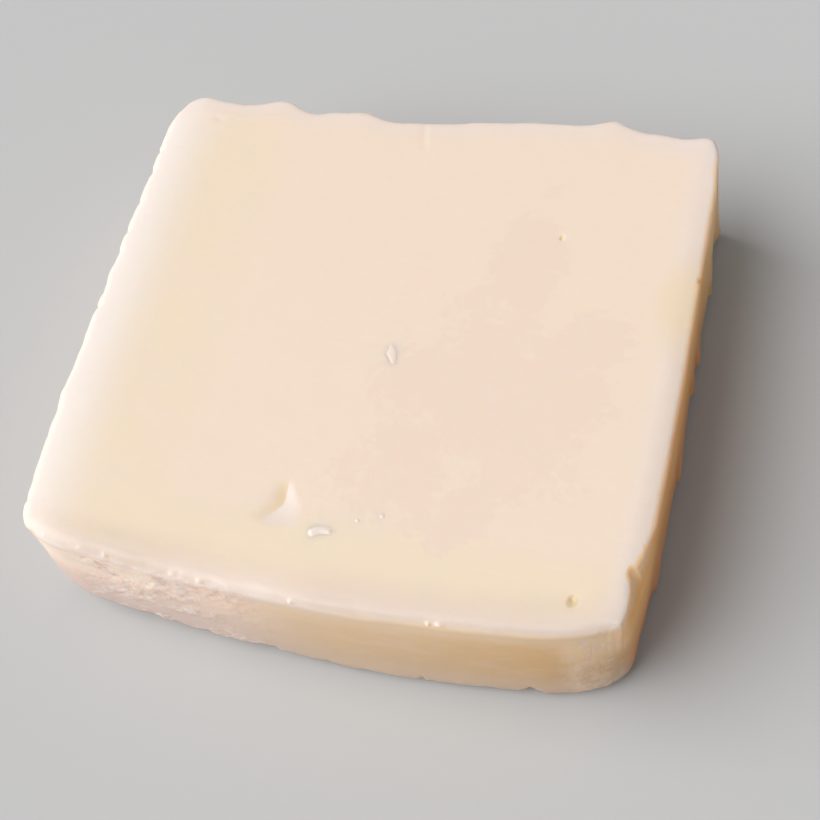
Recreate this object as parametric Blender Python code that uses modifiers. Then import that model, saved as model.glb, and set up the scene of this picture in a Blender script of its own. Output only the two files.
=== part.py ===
"""Shaving soap: one hand-cut block of hard cream soap, with a few loose bits of soap on its top.

Metres, +Z up. The block lies flat, its bowed long face towards -Y. The origin is the centre of
the block's bounding box, on the plane that it rests on.
"""

import math

import bmesh
import bpy
from mathutils import Euler, Vector

MM = 0.001

# Driving dimensions of the block
BLOCK_WIDTH = 76.2 * MM
BLOCK_DEPTH = 73.4 * MM
BLOCK_THICKNESS = 20.0 * MM
OUTLINE_RESOLUTION = 3

# Worn edge radii: round the top by the side they belong to, and all round the foot
EDGE_TOP_LEFT = 2.2 * MM
EDGE_TOP_FRONT = 1.1 * MM
EDGE_TOP_RIGHT = 0.7 * MM
EDGE_TOP_BACK = 1.2 * MM
EDGE_FOOT = 1.8 * MM
EDGE_SEGMENTS = 4

# Crumbled stretch of the right top edge: where each chip lies along the edge and its reach, mm
CORNER_CHIPS = [(-23.4, 1.5), (-26.3, 2.3), (-29.8, 2.0)]
CHIPPED_EDGE_ACROSS = 38.4 * MM
CHIP_DEPTH = 0.4 * MM

# Nicks along the lower front edge: across, along and reach, mm
FOOT_NICKS = [(-25.0, -34.7, 1.0), (-10.0, -36.2, 1.2), (-2.2, -36.8, 0.9)]
FOOT_NICKS += [(10.4, -36.8, 0.8), (23.4, -36.0, 1.0)]
NICK_HEIGHT = 0.9 * MM

# Loose bits lie on the top with this gap under them
BIT_GAP = 0.3 * MM

SOAP_CREAM = (0.86, 0.73, 0.58, 1.0)
SOAP_DRIED = (0.90, 0.84, 0.76, 1.0)
SOAP_ROUGHNESS = 0.48
BIT_ROUGHNESS = 0.6

# The outline seen from above, anticlockwise from the front left corner, as fractions of half the
# width and half the depth. The front face bows out, the back edge is wavy from unmoulding.
FRONT_FACE = [(-0.906, -0.905), (-0.709, -0.943), (-0.394, -0.978), (0.0, -0.999)]
FRONT_FACE += [(0.315, -1.0), (0.577, -0.984), (0.814, -0.948)]
FRONT_RIGHT_CORNER = [(0.934, -0.880), (0.969, -0.763)]
RIGHT_FACE = [(0.987, -0.490), (1.0, 0.0), (1.0, 0.545), (0.996, 0.860)]
BACK_RIGHT_CORNER = [(0.990, 0.916), (0.966, 0.950), (0.930, 0.952)]
BACK_FACE = [(0.866, 0.943), (0.748, 0.951), (0.630, 1.0), (0.512, 0.967), (0.210, 0.945)]
BACK_FACE += [(-0.131, 0.907), (-0.289, 0.937), (-0.446, 0.921), (-0.564, 0.956)]
BACK_FACE += [(-0.735, 0.929), (-0.892, 0.943)]
BACK_LEFT_CORNER = [(-0.971, 0.883)]
LEFT_FACE = [(-0.987, 0.654), (-1.0, 0.163), (-1.0, -0.272), (-0.987, -0.681)]
FRONT_LEFT_CORNER = [(-0.966, -0.850)]
OUTLINE = FRONT_FACE + FRONT_RIGHT_CORNER + RIGHT_FACE + BACK_RIGHT_CORNER
OUTLINE += BACK_FACE + BACK_LEFT_CORNER + LEFT_FACE + FRONT_LEFT_CORNER


def clear_scene():
    """Removes whatever objects the scene holds."""
    for obj in list(bpy.data.objects):
        bpy.data.objects.remove(obj, do_unlink=True)


def new_collection(name):
    """Returns a collection of that name, linked to the scene."""
    collection = bpy.data.collections.new(name)
    bpy.context.scene.collection.children.link(collection)
    return collection


def new_material(name, colour, roughness):
    """Returns a plain Principled material."""
    material = bpy.data.materials.new(name)
    material.use_nodes = True
    shader = material.node_tree.nodes["Principled BSDF"]
    shader.inputs["Base Color"].default_value = colour
    shader.inputs["Roughness"].default_value = roughness
    shader.inputs["Metallic"].default_value = 0.0
    return material


def outline_curve(collection):
    """Returns the block as a flat curve of the outline, extruded to the full thickness."""
    curve = bpy.data.curves.new("soap_outline", "CURVE")
    curve.dimensions = "2D"
    curve.fill_mode = "BOTH"
    curve.extrude = BLOCK_THICKNESS / 2
    curve.resolution_u = OUTLINE_RESOLUTION
    spline = curve.splines.new("BEZIER")
    spline.bezier_points.add(len(OUTLINE) - 1)
    for point, (across, along) in zip(spline.bezier_points, OUTLINE):
        point.co = (across * BLOCK_WIDTH / 2, along * BLOCK_DEPTH / 2, 0.0)
        point.handle_left_type = "AUTO"
        point.handle_right_type = "AUTO"
    spline.use_cyclic_u = True
    obj = bpy.data.objects.new("soap_outline", curve)
    obj.location.z = BLOCK_THICKNESS / 2
    collection.objects.link(obj)
    return obj


def mesh_from_curve(curve_object, name, collection):
    """Turns a curve object into a mesh object with one welded face per cap, and removes the curve."""
    bpy.context.view_layer.update()
    depsgraph = bpy.context.evaluated_depsgraph_get()
    mesh = bpy.data.meshes.new_from_object(curve_object.evaluated_get(depsgraph))
    mesh.transform(curve_object.matrix_world)
    bm = bmesh.new()
    bm.from_mesh(mesh)
    bmesh.ops.remove_doubles(bm, verts=bm.verts, dist=0.01 * MM)
    bmesh.ops.recalc_face_normals(bm, faces=bm.faces)
    for up in (1, -1):
        bmesh.ops.dissolve_faces(bm, faces=[face for face in bm.faces if face.normal.z * up > 0.9])
    bm.to_mesh(mesh)
    bm.free()
    mesh.name = name
    obj = bpy.data.objects.new(name, mesh)
    collection.objects.link(obj)
    bpy.data.objects.remove(curve_object, do_unlink=True)
    return obj


def fit_to_block(obj):
    """Stretches a mesh to the block's exact width and depth, centred on the origin."""
    low = [min(vert.co[axis] for vert in obj.data.vertices) for axis in range(2)]
    high = [max(vert.co[axis] for vert in obj.data.vertices) for axis in range(2)]
    for vert in obj.data.vertices:
        for axis, wanted in enumerate((BLOCK_WIDTH, BLOCK_DEPTH)):
            middle = (low[axis] + high[axis]) / 2
            vert.co[axis] = (vert.co[axis] - middle) * wanted / (high[axis] - low[axis])


def top_edge_radius(outward):
    """The worn radius of a stretch of the top edge that faces the way of outward."""
    side = EDGE_TOP_RIGHT if outward.x > 0 else EDGE_TOP_LEFT
    end = EDGE_TOP_BACK if outward.y > 0 else EDGE_TOP_FRONT
    return side * outward.x ** 2 + end * outward.y ** 2


def round_edges(obj):
    """Rounds the rims of the top and the foot, each stretch with a radius of its own."""
    largest = max(EDGE_TOP_LEFT, EDGE_FOOT)
    mesh = obj.data
    bm = bmesh.new()
    bm.from_mesh(mesh)
    weight = bm.edges.layers.float.new("bevel_weight_edge")
    for edge in bm.edges:
        heights = [vert.co.z for vert in edge.verts]
        if abs(heights[0] - heights[1]) > 0.5 * BLOCK_THICKNESS:
            continue
        walls = [face for face in edge.link_faces if abs(face.normal.z) < 0.5]
        if len(walls) != 1:
            continue
        is_foot = heights[0] < 0.5 * BLOCK_THICKNESS
        radius = EDGE_FOOT if is_foot else top_edge_radius(walls[0].normal)
        edge[weight] = radius / largest
    bm.to_mesh(mesh)
    bm.free()
    bevel = obj.modifiers.new("worn_edges", "BEVEL")
    bevel.limit_method = "WEIGHT"
    bevel.width = largest
    bevel.segments = EDGE_SEGMENTS
    bevel.use_clamp_overlap = False


def lump(name, collection, centre, radii, turn=(0.0, 0.0, 0.0), subdivisions=2):
    """Returns a rounded lump: a sphere stretched to three radii and turned about its centre."""
    mesh = bpy.data.meshes.new(name)
    bm = bmesh.new()
    bmesh.ops.create_icosphere(bm, subdivisions=subdivisions, radius=1.0)
    for vert in bm.verts:
        vert.co = Vector(side * radius for side, radius in zip(vert.co, radii))
    bm.to_mesh(mesh)
    bm.free()
    obj = bpy.data.objects.new(name, mesh)
    obj.location = centre
    obj.rotation_euler = Euler([math.radians(angle) for angle in turn])
    collection.objects.link(obj)
    return obj


def cut(obj, cutter):
    """Cuts one solid out of another."""
    cutter.hide_render = True
    cutter.display_type = "WIRE"
    boolean = obj.modifiers.new("cut_" + cutter.name, "BOOLEAN")
    boolean.operation = "DIFFERENCE"
    boolean.solver = "EXACT"
    boolean.object = cutter


def dents_in_top(cutters):
    """The dents of the top face: a thumbnail gouge, a deep pit and a pinhole."""
    top = BLOCK_THICKNESS
    dents = []
    gouge_centre = (-5.9 * MM, -24.4 * MM, top + 0.5 * MM)
    gouge_radii = (1.9 * MM, 2.9 * MM, 1.3 * MM)
    dents.append(lump("gouge", cutters, gouge_centre, gouge_radii, (8, 12, -22)))
    pit_radii = (0.55 * MM, 0.5 * MM, 1.3 * MM)
    dents.append(lump("deep_pit", cutters, (29.8 * MM, -30.8 * MM, top), pit_radii))
    pinhole_radii = (0.3 * MM, 0.4 * MM, 0.5 * MM)
    dents.append(lump("pinhole", cutters, (20.2 * MM, 17.1 * MM, top), pinhole_radii))
    return dents


def chips_at_corner(cutters):
    """The crumbled stretch of the right top edge, next to the front right corner."""
    chips = []
    for number, (along, reach) in enumerate(CORNER_CHIPS):
        centre = (CHIPPED_EDGE_ACROSS, along * MM, BLOCK_THICKNESS - CHIP_DEPTH)
        radii = (reach * MM, 1.9 * MM, 2.6 * MM)
        chips.append(lump(f"corner_chip_{number}", cutters, centre, radii, (10, 0, 8)))
    return chips


def nicks_in_foot(cutters):
    """The nicks along the lower front edge, each a few millimetres wide."""
    nicks = []
    for number, (across, along, reach) in enumerate(FOOT_NICKS):
        centre = (across * MM, along * MM, NICK_HEIGHT)
        radii = (reach * MM, 1.5 * MM, 1.3 * MM)
        nicks.append(lump(f"foot_nick_{number}", cutters, centre, radii, (0, 14, 0)))
    return nicks


def soap_bar(parts, cutters):
    """The block itself: extruded outline, worn edges, then the dents, chips and nicks."""
    bar = mesh_from_curve(outline_curve(parts), "soap_bar", parts)
    fit_to_block(bar)
    round_edges(bar)
    for cutter in dents_in_top(cutters) + chips_at_corner(cutters) + nicks_in_foot(cutters):
        cut(bar, cutter)
    bar.data.materials.append(new_material("soap_cream", SOAP_CREAM, SOAP_ROUGHNESS))
    return bar


def loose_bit(name, parts, material, place, radii, turn):
    """A loose bit of soap that lies on the top face, BIT_GAP above it."""
    centre = (place[0] * MM, place[1] * MM, BLOCK_THICKNESS + BIT_GAP + radii[2] * MM)
    bit = lump(name, parts, centre, [radius * MM for radius in radii], (0, 0, turn))
    bit.data.shade_smooth()
    bit.data.materials.append(material)
    return bit


def build():
    """Builds the whole object."""
    clear_scene()
    parts = new_collection("shaving_soap")
    cutters = new_collection("cutters")
    soap_bar(parts, cutters)
    dried = new_material("soap_dried", SOAP_DRIED, BIT_ROUGHNESS)
    loose_bit("soap_shaving", parts, dried, (-0.1, -27.2), (1.05, 0.42, 0.38), 24)
    loose_bit("soap_flake", parts, dried, (2.7, -2.6), (0.55, 1.25, 0.18), 8)
    loose_bit("soap_crumb_left", parts, dried, (4.0, -25.2), (0.27, 0.24, 0.22), 0)
    loose_bit("soap_crumb_right", parts, dried, (6.7, -24.2), (0.24, 0.28, 0.22), 30)


build()
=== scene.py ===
"""Looks of the shaving soap: a hand-cut block of cream soap with loose bits of soap on its top.

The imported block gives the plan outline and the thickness. A finer solid is modelled round them as a
field of signed distances (worn rims, crumbly stretches, chips, gouge, pits) and then meshed.
Lengths inside the modelling functions are millimetres; Blender objects are in metres.
"""

import math

import bmesh
import bpy
import numpy as np
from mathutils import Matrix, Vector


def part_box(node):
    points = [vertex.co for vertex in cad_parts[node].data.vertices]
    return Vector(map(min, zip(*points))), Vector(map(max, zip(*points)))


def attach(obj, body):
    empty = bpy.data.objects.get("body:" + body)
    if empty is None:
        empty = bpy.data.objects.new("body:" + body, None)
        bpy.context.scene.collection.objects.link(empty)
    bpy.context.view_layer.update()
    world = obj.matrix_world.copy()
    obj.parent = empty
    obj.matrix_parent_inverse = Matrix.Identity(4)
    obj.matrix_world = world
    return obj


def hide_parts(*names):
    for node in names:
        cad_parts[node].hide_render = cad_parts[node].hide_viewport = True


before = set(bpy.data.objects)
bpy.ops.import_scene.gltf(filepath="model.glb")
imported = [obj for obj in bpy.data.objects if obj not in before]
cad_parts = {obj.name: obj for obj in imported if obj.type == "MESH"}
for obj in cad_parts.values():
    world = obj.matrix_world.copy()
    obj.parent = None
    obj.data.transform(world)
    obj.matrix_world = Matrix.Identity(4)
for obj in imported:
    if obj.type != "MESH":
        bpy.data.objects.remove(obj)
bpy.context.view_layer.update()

import openvdb
from mathutils import Euler, Matrix, Vector

MM = 0.001

# The view: the camera looks down on the front right corner, turned about its own axis
VIEW_AZIMUTH = 26.66
VIEW_ELEVATION = 59.28
VIEW_ROLL = 15.74
VIEW_DISTANCE = 0.18136
VIEW_TARGET = (0.00407, -0.00475, 0.0100)
VIEW_LENS = 62.6
SENSOR_WIDTH = 36.0

# Studio: one soft sun over a grey sky that is lighter at the horizon, and a pale floor
KEY_DIRECTION = (-0.64, -0.28, 0.72)
KEY_SOFTNESS = 62.0      # degrees of sky that it fills
KEY_STRENGTH = 3.12
SKY_LOW = 0.56
SKY_HIGH = 0.27
SKY_BLEND_TOP = 0.45     # height on the sky's unit ball where the blend ends
FLOOR_HALF = 2.0         # m
FLOOR_GREY = 0.55
FLOOR_ROUGHNESS = 0.9

OUTLINE_SPACING = 0.4    # mm between the points of the plan outline
OUTLINE_SOFTNESS = 0.7   # mm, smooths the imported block's facets away
SAME_PLACE = 1e-4        # mm, cut points closer than this are one
VOXEL = 0.26             # mm, grid pitch of the block's distance field
MARGIN = 1.8             # mm of grid round the block
BAND = 3.0               # mm, distances are kept exact this far from the surface
MOST_TRIANGLES = 190000


# ---------------------------------------- numbers and noise

def smoothstep(low, high, value):
    """0 below low, 1 above high, and a smooth ramp between."""
    ramp = np.clip((value - low) / (high - low), 0.0, 1.0)
    return ramp * ramp * (3.0 - 2.0 * ramp)


def lattice_gradient(i, j, k, seed):
    """A repeatable pseudo-random unit-ish vector for each lattice point."""
    mixed = (i * 73856093) ^ (j * 19349663) ^ (k * 83492791) ^ (seed * 2654435761)
    mixed = mixed.astype(np.uint32)
    mixed = (mixed ^ (mixed >> 15)) * np.uint32(2246822519)
    mixed = (mixed ^ (mixed >> 13)) * np.uint32(3266489917)
    mixed = mixed ^ (mixed >> 16)
    parts = [((mixed >> shift) & np.uint32(1023)).astype(np.float32) / 511.5 - 1.0 for shift in (0, 10, 20)]
    return parts


def noise(x, y, z, seed):
    """Gradient noise in about -1 to 1, one feature per unit of length."""
    x, y, z = np.broadcast_arrays(x, y, z)
    base = [np.floor(side).astype(np.int64) for side in (x, y, z)]
    part = [(side - low).astype(np.float32) for side, low in zip((x, y, z), base)]
    fade = [side * side * side * (side * (side * 6.0 - 15.0) + 10.0) for side in part]
    total = np.zeros(x.shape, np.float32)
    for corner in range(8):
        step = [(corner >> axis) & 1 for axis in range(3)]
        gradient = lattice_gradient(base[0] + step[0], base[1] + step[1], base[2] + step[2], seed)
        dot = sum(grad * (side - one) for grad, side, one in zip(gradient, part, step))
        weight = np.ones(x.shape, np.float32)
        for amount, one in zip(fade, step):
            weight = weight * (amount if one else 1.0 - amount)
        total += dot * weight
    return total * 1.4


def rough(x, y, z, seed, octaves=3, gain=0.55):
    """Several octaves of noise, each twice as fine as the one before."""
    total = 0.0
    size = 1.0
    for octave in range(octaves):
        scale = 2.0 ** octave
        total = total + size * noise(x * scale, y * scale, z * scale, seed + 17 * octave)
        size *= gain
    return total


# ---------------------------------------- the plan outline

def softened(points, softness):
    """The closed outline with everything finer than the softness, mm, smoothed away."""
    waves = np.fft.fftfreq(len(points), d=OUTLINE_SPACING)
    damping = np.exp(-2.0 * (math.pi * softness * waves) ** 2)[:, None]
    return np.real(np.fft.ifft(np.fft.fft(points, axis=0) * damping, axis=0))


def plan_outline(node):
    """The block's outline at half height, in mm: evenly spaced points, anticlockwise, facets smoothed."""
    bm = bmesh.new()
    bm.from_mesh(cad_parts[node].data)
    low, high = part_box(node)
    middle = Vector((0.0, 0.0, (low[2] + high[2]) / 2))
    everything = bm.verts[:] + bm.edges[:] + bm.faces[:]
    cut = bmesh.ops.bisect_plane(bm, geom=everything, plane_co=middle, plane_no=(0, 0, 1))["geom_cut"]
    points = np.array([vert.co[:2] for vert in cut if isinstance(vert, bmesh.types.BMVert)]) / MM
    bm.free()
    angle = np.arctan2(points[:, 1], points[:, 0])
    points = points[np.argsort(angle)]
    closed = np.vstack([points, points[:1]])
    steps = np.hypot(*np.diff(closed, axis=0).T)
    closed = closed[np.append(steps > SAME_PLACE, True)]
    along = np.append(0.0, np.cumsum(np.hypot(*np.diff(closed, axis=0).T)))
    count = int(along[-1] / OUTLINE_SPACING)
    even = np.arange(count) * along[-1] / count
    even_points = np.stack([np.interp(even, along, closed[:, axis]) for axis in range(2)], axis=1)
    return softened(even_points, OUTLINE_SOFTNESS)


def distance_to_outline(outline, grid_x, grid_y):
    """Signed distance (negative inside) and nearest place of the outline for each grid point."""
    ends = np.roll(outline, -1, axis=0)
    run = ends - outline
    length2 = (run ** 2).sum(axis=1)
    best = np.full(grid_x.shape, np.inf)
    nearest = np.zeros(grid_x.shape)
    side = np.zeros(grid_x.shape)
    for number in range(len(outline)):
        dx = grid_x - outline[number, 0]
        dy = grid_y - outline[number, 1]
        share = np.clip((dx * run[number, 0] + dy * run[number, 1]) / length2[number], 0.0, 1.0)
        distance = np.hypot(dx - share * run[number, 0], dy - share * run[number, 1])
        closer = distance < best
        best = np.where(closer, distance, best)
        nearest = np.where(closer, number + share, nearest)
        turn = run[number, 0] * dy - run[number, 1] * dx
        side = np.where(closer, turn, side)
    return np.where(side > 0, -best, best), nearest


def window(value, start, full, fade, end):
    """0 outside start..end, 1 between full and fade, smooth in between."""
    return smoothstep(start, full, value) * (1.0 - smoothstep(fade, end, value))


def hill(value, centre, width):
    """A bell of height 1."""
    return np.exp(-((value - centre) / width) ** 2)


# ---------------------------------------- the block's grid and outline

low_corner, high_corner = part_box("soap_bar")
TOP = high_corner[2] / MM
outline = plan_outline("soap_bar")
tangent = np.roll(outline, -1, axis=0) - np.roll(outline, 1, axis=0)
tangent /= np.hypot(tangent[:, 0], tangent[:, 1])[:, None]
faces_right = tangent[:, 1]
faces_back = -tangent[:, 0]

axis_x = np.arange(low_corner[0] / MM - MARGIN, high_corner[0] / MM + MARGIN, VOXEL)
axis_y = np.arange(low_corner[1] / MM - MARGIN, high_corner[1] / MM + MARGIN, VOXEL)
axis_z = np.arange(-MARGIN, TOP + MARGIN, VOXEL)
plan_x, plan_y = np.meshgrid(axis_x, axis_y, indexing="ij")
plan_distance, plan_place = distance_to_outline(outline, plan_x, plan_y)
plan_index = np.rint(plan_place).astype(int) % len(outline)

# How much each place of the outline belongs to a wall, 0 to 1, by how squarely it faces that wall's way
HARDLY_FACING, WELL_FACING = 0.60, 0.85
ON_LEFT, ON_RIGHT, ON_FRONT, ON_BACK = (
    smoothstep(HARDLY_FACING, WELL_FACING, facing)
    for facing in (-faces_right, faces_right, -faces_back, faces_back))


# ---------------------------------------- walls

# Back wall: bulges left by the cut, (x, how far out, half width)
BACK_BULGES = ((-33.5, 0.55, 1.8), (-29.0, 0.50, 2.6), (-21.6, 0.65, 1.9), (-14.5, 0.35, 1.6),
               (-9.6, 0.50, 2.0), (-1.5, 0.30, 3.5), (6.0, 0.20, 3.0), (14.5, 0.60, 4.5),
               (23.9, 0.40, 1.4), (30.0, 0.60, 2.6), (35.8, 0.45, 1.6))
# Left wall: bites along its rim, (y, how deep, half width)
LEFT_BITES = ((25.4, 0.30, 0.45), (22.0, 0.35, 0.45), (16.7, 0.30, 0.45), (11.5, 0.20, 0.8),
              (8.2, 0.25, 0.45), (7.5, 0.35, 2.2), (3.0, 0.30, 1.2), (1.7, 0.25, 0.5),
              (-0.6, 0.25, 0.45), (-9.0, 0.10, 2.0), (-28.6, 0.25, 0.5))
# Foot of the front wall: broken notches, (x, how high, reach to the left, reach to the right)
FRONT_FOOT_NOTCHES = ((-23.1, 1.3, 2.0, 0.8), (-20.2, 1.0, 0.8, 0.7), (-15.9, 1.2, 0.9, 0.7),
                      (-6.8, 1.9, 4.5, 0.6), (-0.1, 0.9, 1.5, 0.5), (4.8, 0.8, 0.9, 0.9),
                      (11.8, 1.7, 0.5, 0.35), (25.0, 2.2, 1.4, 1.6), (-31.0, 0.5, 2.0, 1.0))
# Foot of the right wall: broken notches, (y, how high, half width)
RIGHT_FOOT_NOTCHES = ((22.6, 0.7, 1.5), (6.8, 1.0, 1.2), (-8.8, 1.0, 1.0))
# Foot of the right wall: lips that end short, (y of the end, how far out, length)
RIGHT_FOOT_LIPS = ((23.4, 0.35, 3.5), (12.2, 0.50, 6.0), (7.6, 0.50, 3.0), (-5.0, 0.40, 7.0),
                   (-20.4, 0.30, 4.0))
# Direction of the saw's tears across the walls, degrees from level
TEAR_SLANT = 38.0


def torn_walls(place_x, place_y, z):
    """How torn the walls are, 0 to 1, for each place of the outline and each height."""
    patches = rough(place_x / 7.0, place_y / 7.0, z / 5.0, 3, 2)
    front = ON_FRONT[:, None] * window(place_x, -35.0, -27.0, -13.0, -3.0)
    front = front * smoothstep(-0.55, 0.25, patches)
    corner = window(place_x, 29.5, 31.5, 34.5, 36.5) * (place_y < -20.0)
    corner = corner * 0.5 * smoothstep(-0.5, 0.4, rough(place_x / 1.5, place_y / 1.5, z / 5.0, 5, 2))
    left_and_back = (ON_LEFT + ON_BACK)[:, None] * smoothstep(0.05, 0.55, patches) * 0.8
    foot = (1.0 - smoothstep(1.0, 4.0, z)) * 0.45 * smoothstep(-0.4, 0.5, patches)
    return np.clip(np.maximum.reduce([front, corner, left_and_back, foot]), 0.0, 1.0)


def cut_relief(place_x, place_y, z, torn):
    """How far the cut and torn wall stands out from the plan outline, mm, before its named features."""
    relief = 0.14 * rough(place_x / 13.0, place_y / 13.0, z / 11.0, 11, 2)
    left_and_back = (ON_LEFT + ON_BACK)[:, None]
    relief = relief + 0.16 * left_and_back * rough(place_x / 7.0, place_y / 7.0, z / 5.0, 13, 3)
    along = place_x + place_y
    relief = relief + 0.022 * noise(along / 7.0, place_x * 0.0, z / 0.75, 21)
    relief = relief + 0.05 * noise(along / 16.0, place_x * 0.0, z / 2.6, 22)
    # lumps and slanting tears
    slant = math.radians(TEAR_SLANT)
    tear_along = along * math.cos(slant) + z * math.sin(slant)
    tear_across = z * math.cos(slant) - along * math.sin(slant)
    lumps = rough(place_x / 1.9, place_y / 1.9, z / 1.5, 31, 3)
    tears = 1.0 - 2.0 * np.abs(rough(tear_along / 3.4, place_x * 0.0, tear_across / 0.95, 41, 2))
    relief = relief + torn * (0.12 * lumps + 0.11 * tears - 0.06)
    # pits where a crumb came away
    pits = smoothstep(0.42, 0.62, noise(place_x / 1.3, place_y / 1.3, z / 1.1, 51))
    return relief - 0.16 * pits * torn


def wall_relief(place_x, place_y, z, torn):
    """How far the wall stands out from the plan outline, mm: the cut, then its named features."""
    relief = cut_relief(place_x, place_y, z, torn)
    patches = noise(place_x / 6.0, place_y / 6.0, z / 30.0, 12)
    # back: its bulges fade out down the wall
    back = ON_BACK[:, None]
    relief = relief - back * BULGE[:, None] * 0.9 * (1.0 - smoothstep(5.0, 15.0, z + 2.5 * patches))
    for x, out, width in BACK_BULGES:
        relief = relief + back * out * hill(place_x, x, width) * smoothstep(11.0, 18.0, z + 2.0 * patches)
    # left: bites along the rim
    left = ON_LEFT[:, None]
    for y, deep, width in LEFT_BITES:
        relief = relief - left * deep * hill(place_y, y, width) * smoothstep(14.0, 18.5, z + patches)
    # general run of the front, left and right walls
    front_lean = 0.30 * smoothstep(6.0, 18.0, z)
    left_lean = 0.20 * smoothstep(4.0, 18.0, z)
    right_waist = 0.5 * window(place_y, -32.0, -26.0, -22.0, -18.0) * (1.0 - smoothstep(3.0, 12.0, z))
    relief = relief - ON_FRONT[:, None] * front_lean + left * left_lean
    relief = relief - ON_RIGHT[:, None] * right_waist
    # right: a swell, a flare at the foot of the back corner, and lips along the foot
    right_swell = 0.28 * window(place_y, 16.0, 19.5, 25.0, 29.0) * (1.0 - 0.5 * smoothstep(10.0, 20.0, z))
    right_flare = 1.35 * smoothstep(32.0, 34.0, place_y) * np.exp(-z / 8.5) * smoothstep(0.0, 1.2, z)
    right_flare = right_flare * (1.0 - smoothstep(11.0, 18.5, z))
    relief = relief + ON_RIGHT[:, None] * (right_swell + right_flare)
    for y, out, length in RIGHT_FOOT_LIPS:
        lip = np.clip(1.0 - (place_y - y) / length, 0.0, 1.0) * smoothstep(y - 0.4, y, place_y)
        relief = relief + ON_RIGHT[:, None] * out * lip * window(z, 0.4, 1.6, 3.0, 7.0)
    # corners
    back_right = hill(place_x, 38.0, 1.6) * hill(place_y, 36.0, 1.6)
    front_left = hill(place_x, -36.8, 2.2) * hill(place_y, -33.0, 2.2)
    front_right = hill(place_x, 35.4, 1.5) * hill(place_y, -32.6, 1.5)
    relief = relief + front_right * (0.40 * smoothstep(8.0, 16.0, z) - 0.10)
    relief = relief + 0.45 * back_right - front_left * (0.45 * smoothstep(8.0, 17.0, z) - 0.25)
    return relief


# how far the outline bulges from its own general run
outward = np.stack([faces_right, faces_back], axis=1)
BULGE = ((outline - softened(outline, 4.0)) * outward).sum(axis=1) * (np.abs(outline[:, 0]) < 32.0)
place_x, place_y = outline[:, :1], outline[:, 1:]
TORN = torn_walls(place_x, place_y, axis_z[None, :])
RELIEF = wall_relief(place_x, place_y, axis_z[None, :], TORN)


def rim_radius():
    """Rounding of the top rim at each place of the outline."""
    x, y = outline[:, 0], outline[:, 1]
    radius = 1.0 + 0.7 * ON_LEFT - 0.45 * ON_RIGHT + 0.30 * ON_FRONT - 0.35 * ON_BACK
    wander = rough(x / 5.0, y / 5.0, 0.0 * x, 61, 3)
    return np.maximum(radius * (1.0 + 0.28 * wander), 0.3)


def foot_radius():
    """Rounding of the foot at each place of the outline, with broken notches."""
    x, y = outline[:, 0], outline[:, 1]
    front_left = ON_FRONT * (1.0 - smoothstep(-30.0, 4.0, x))
    radius = 1.6 + 2.2 * front_left + 0.5 * ON_FRONT
    front_left_corner = hill(x, -36.0, 4.0) * hill(y, -33.0, 5.0)
    front_right_corner = hill(x, 35.0, 4.0) * hill(y, -33.0, 4.0)
    radius = radius + 0.9 * front_left_corner + 0.5 * front_right_corner
    radius = radius * (1.0 + 0.16 * rough(x / 3.0, y / 3.0, 0.0 * x, 71, 3))
    for place, high, before, after in FRONT_FOOT_NOTCHES:
        reach = np.where(x < place, before, after)
        radius = radius + ON_FRONT * high * np.clip(1.0 - np.abs(x - place) / reach, 0.0, 1.0)
    for place, high, width in RIGHT_FOOT_NOTCHES:
        radius = radius + ON_RIGHT * high * np.clip(1.0 - np.abs(y - place) / width, 0.0, 1.0)
    return np.maximum(radius, 0.5)


# ---------------------------------------- top

# Crease of the thumbnail dent: (y, x, width of the rise on its right)
GOUGE_CREASE = ((-27.4, -7.2, 4.3), (-26.4, -6.9, 4.1), (-25.5, -6.1, 3.3), (-24.7, -5.45, 2.7),
                (-24.2, -5.2, 2.0), (-23.0, -5.2, 1.1), (-21.0, -5.3, 0.5))
GOUGE_DEPTH = 0.31
GOUGE_SLOPE = 2.4        # mm, the easy slope on the crease's left
# Fine scratches in the top: (start, end, width, depth); the second is the burr beside the first
TOP_SCRATCHES = (
    ((-1.3, 34.0), (-0.3, 28.7), 0.55, 0.07),
    ((-0.6, 34.0), (0.3, 28.7), 0.30, -0.04),
    ((-31.0, 31.6), (-29.6, 30.9), 0.4, 0.10),
)


def gouge(x, y):
    """A thumbnail dent: a long easy slope from the left that ends in a crease and a rise on the right."""
    crease_y, crease_x, rise = np.array(GOUGE_CREASE).T
    crease = np.interp(y, crease_y, crease_x)
    rise_width = np.interp(y, crease_y, rise)
    depth = GOUGE_DEPTH * window(y, -27.5, -25.6, -23.6, -20.9)
    slope = np.clip(1.0 - (crease - x) / GOUGE_SLOPE, 0.0, 1.0) ** 1.5
    climb = np.clip(1.0 - (x - crease) / rise_width, 0.0, 1.0) ** 1.3
    return depth * np.where(x < crease, slope, climb)


def scratch(x, y, start, end, width):
    """0 to 1 across a straight fine scratch."""
    run = np.array(end) - np.array(start)
    share = ((x - start[0]) * run[0] + (y - start[1]) * run[1]) / (run @ run)
    off = np.hypot(x - start[0] - share * run[0], y - start[1] - share * run[1])
    return np.exp(-(off / width) ** 2) * window(share, -0.05, 0.15, 0.8, 1.0)


def top_height(x, y, inward):
    """Height of the top face; inward is the distance in from the outline."""
    height = TOP + 0.07 * noise(x / 21.0, y / 21.0, 0.0 * x, 81)
    height = height + 0.02 * noise(x / 5.0, y / 5.0, 0.0 * x, 82)
    height = height - 0.35 * (1.0 - smoothstep(-38.5, -32.0, x))
    height = height - 0.10 * (1.0 - smoothstep(0.0, 3.0, inward))
    height = height - gouge(x, y)
    for start, end, width, depth in TOP_SCRATCHES:
        height = height - depth * scratch(x, y, start, end, width)
    return height


TOP_HEIGHT = top_height(plan_x, plan_y, -plan_distance)


# ---------------------------------------- the block's distance field

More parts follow.
